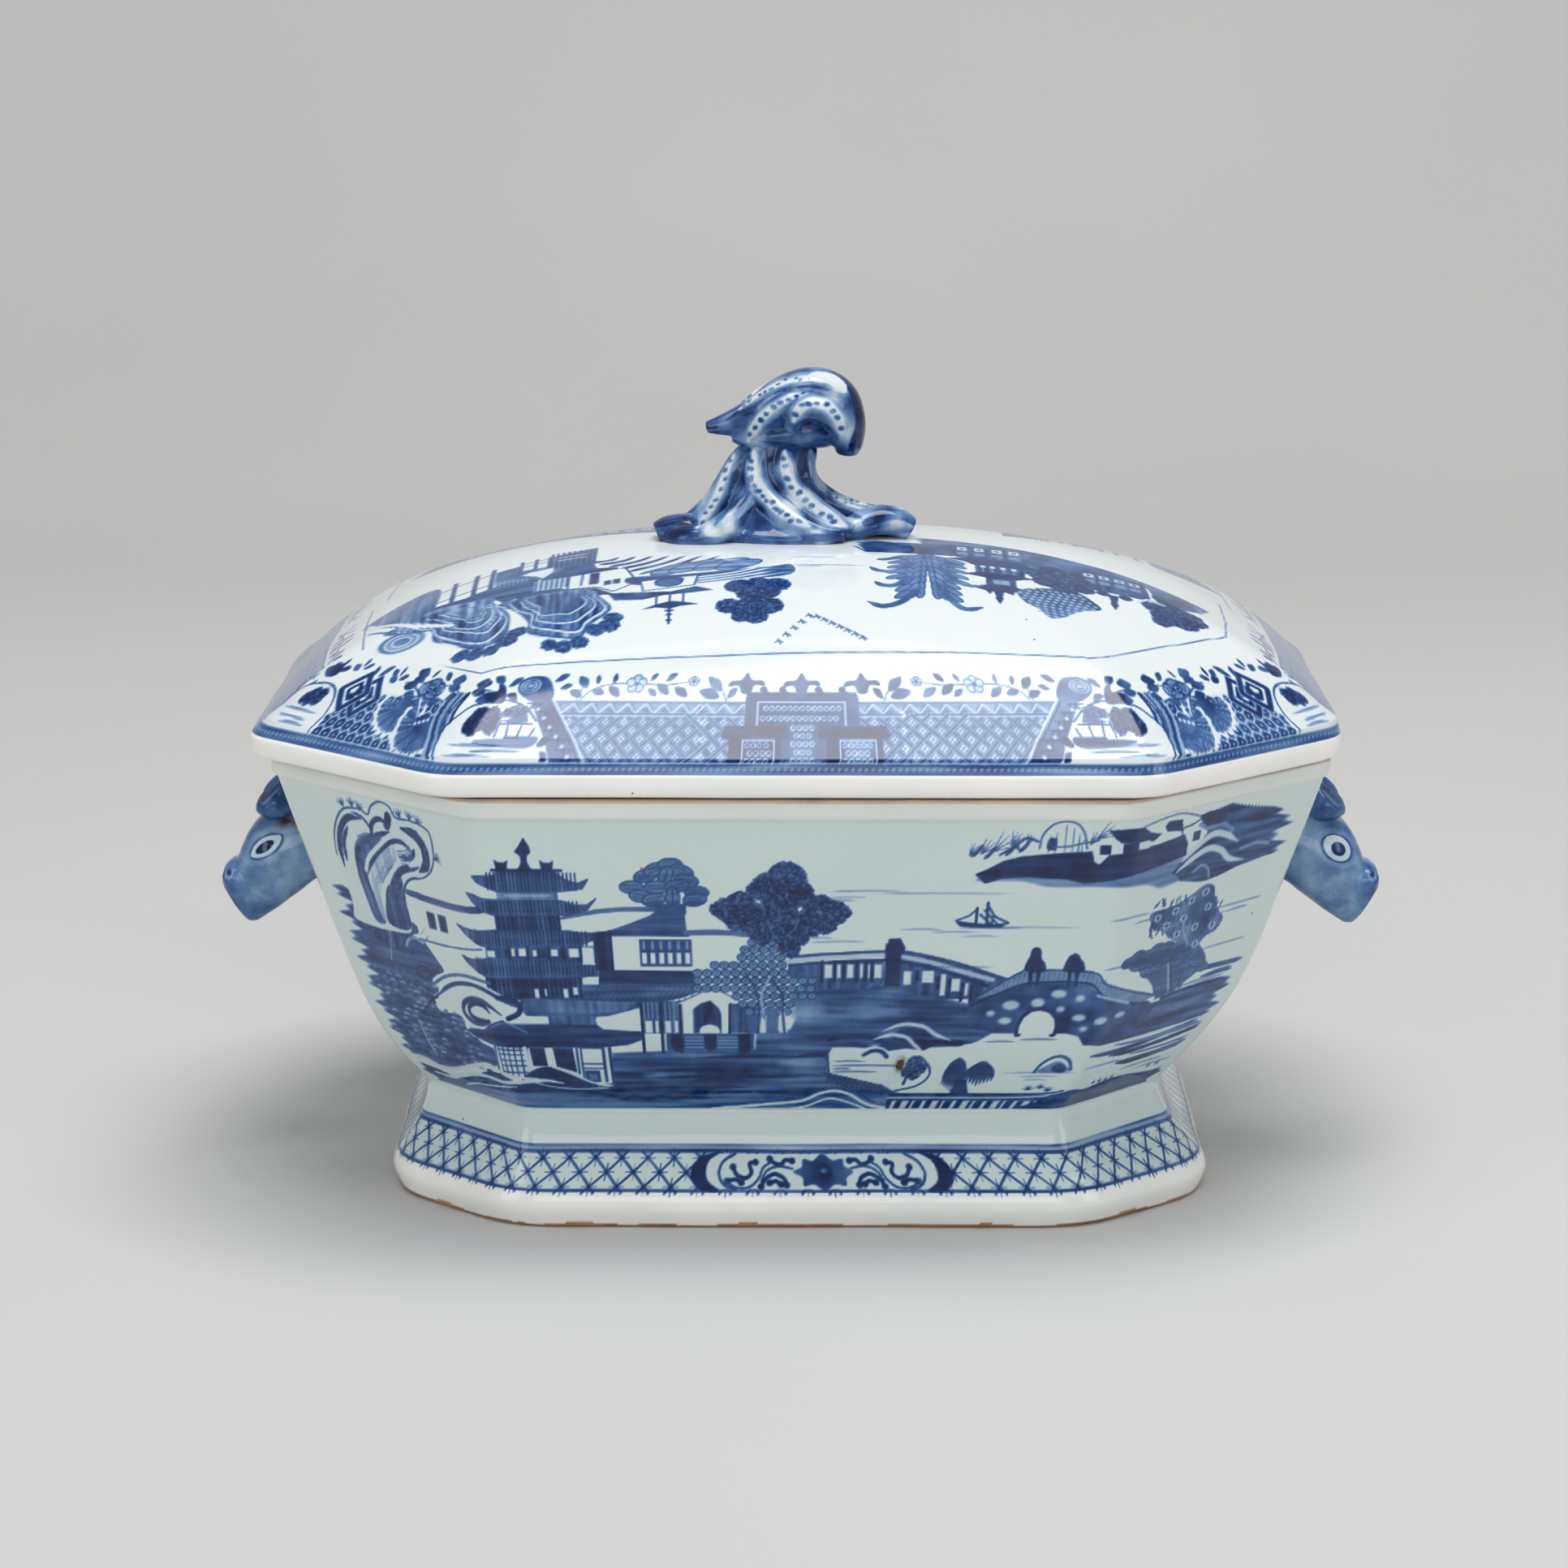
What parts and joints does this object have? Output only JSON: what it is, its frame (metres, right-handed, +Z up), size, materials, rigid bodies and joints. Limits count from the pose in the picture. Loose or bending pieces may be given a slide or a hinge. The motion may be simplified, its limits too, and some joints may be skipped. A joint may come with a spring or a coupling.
{
  "type": "soup tureen",
  "caption": "Lidded canted-rectangle porcelain soup tureen on a spreading foot, with animal-head handles and a domed cover that lifts off by a curled-leaf finial.",
  "frame": {"origin": "on the table, under the middle of the overall box", "axes": "+X along the length through the two handles, +Y towards the back, +Z up"},
  "size_m": [0.3496, 0.24, 0.2373],
  "materials": {
    "bowl_glaze": "pale blue-green porcelain glaze over cobalt painting",
    "foot_glaze": "pale porcelain glaze over cobalt border painting",
    "head_glaze": "cobalt wash under clear glaze",
    "lid_glaze": "white porcelain glaze over cobalt painting",
    "bare_clay": "bare biscuit, faintly toasted",
    "finial_glaze": "white glaze with cobalt washes and dots"
  },
  "bodies": {
    "bowl": {"bowl": "bowl_glaze", "foot": "foot_glaze", "head_left": "head_glaze", "head_right": "head_glaze", "ear_left_front": "head_glaze", "ear_left_back": "head_glaze", "ear_right_front": "head_glaze", "ear_right_back": "head_glaze"},
    "lid": {"lid": "lid_glaze", "seating_ring": "bare_clay", "finial_stem": "finial_glaze", "finial_lobe_left": "finial_glaze", "finial_lobe_right": "finial_glaze", "finial_curl": "finial_glaze"}
  },
  "joints": [
    {"name": "lid_lift", "type": "slide", "parent": "bowl", "child": "lid", "axis": [0, 0, 1], "range_m": [0, 0.12]}
  ]
}
